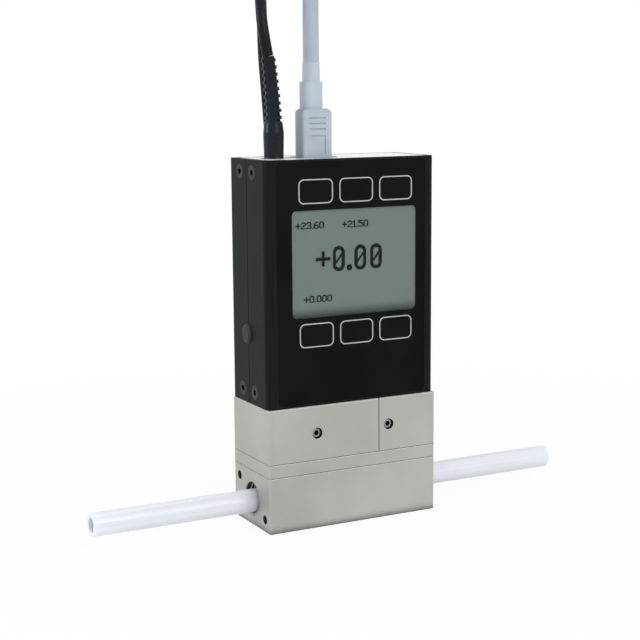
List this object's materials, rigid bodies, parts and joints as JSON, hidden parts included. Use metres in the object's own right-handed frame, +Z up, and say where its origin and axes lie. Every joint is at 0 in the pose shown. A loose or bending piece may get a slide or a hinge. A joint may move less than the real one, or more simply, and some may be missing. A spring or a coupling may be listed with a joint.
{
  "type": "liquid flow meter",
  "caption": "Inline laminar liquid flow meter: steel block stack with end ports, black display housing, stub tubes, power lead and data lead.",
  "frame": {"origin": "middle of the flow body's bottom face", "axes": "+X along the flow, from inlet to outlet; front with the display faces -Y; +Z up"},
  "size_m": [0.169, 0.1049, 0.1785],
  "materials": {
    "stainless_steel": "fine bead-blasted and lightly brushed, small bright chamfers",
    "screw_steel": "bright machined steel",
    "clear_anodised": "clear anodised, satin",
    "black_anodised": "black anodised extrusion, satin with fine lengthwise grain",
    "black_screws": "black oxide",
    "overlay_film": "fine matt printed film",
    "key_print": "printed line",
    "clear_window": "clear film window",
    "display": "grey-green reflective display with dark characters",
    "circuit_board": "solder mask",
    "black_nylon": "moulded, fine grain",
    "seal_rubber": "matt",
    "milky_tube": "translucent milky tube, smooth",
    "black_vinyl": "moulded vinyl, satin",
    "grey_vinyl": "moulded blue-grey vinyl, satin",
    "plated_contacts": "nickel plated",
    "core_insulation": "coloured insulation with tinned ends"
  },
  "bodies": {
    "root": {"flow_body": "stainless_steel", "laminar_element": "stainless_steel", "chamber_gasket": "seal_rubber", "cover_plate": "stainless_steel", "tap_seals": "seal_rubber", "sensor_block": "stainless_steel", "pressure_block": "stainless_steel", "bleed_screws": "screw_steel", "block_screws": "screw_steel", "difference_sensor": "screw_steel", "line_sensor": "screw_steel", "temperature_probe": "screw_steel", "tube_seals": "seal_rubber", "base_bracket": "clear_anodised", "bracket_screws": "screw_steel", "front_shell": "black_anodised", "rear_shell": "black_anodised", "top_cap": "clear_anodised", "side_screws": "black_screws", "side_plug": "black_nylon", "keypad_overlay": "overlay_film", "key_frames": "key_print", "display_window": "clear_window", "display_glass": "display", "display_frame": "screw_steel", "display_board": "circuit_board", "key_switches": "black_nylon", "board_spacers": "clear_anodised", "board_screws": "screw_steel", "main_board": "circuit_board", "board_components": "black_nylon", "sensor_board": "circuit_board", "sensor_ribbon": "grey_vinyl", "power_jack": "black_nylon", "data_socket": "black_nylon", "inlet_tube": "milky_tube", "outlet_tube": "milky_tube", "power_plug": "black_vinyl", "power_barrel": "plated_contacts", "power_cord": "black_vinyl", "power_coil": "black_vinyl", "power_tail": "black_vinyl", "power_cores": "core_insulation", "data_plug": "grey_vinyl", "data_plug_shell": "plated_contacts", "data_plug_pins": "plated_contacts", "data_cord": "grey_vinyl", "data_coil": "grey_vinyl", "data_tail": "grey_vinyl", "data_far_plug": "grey_vinyl", "data_far_shell": "plated_contacts", "data_far_pins": "plated_contacts"}
  },
  "joints": []
}
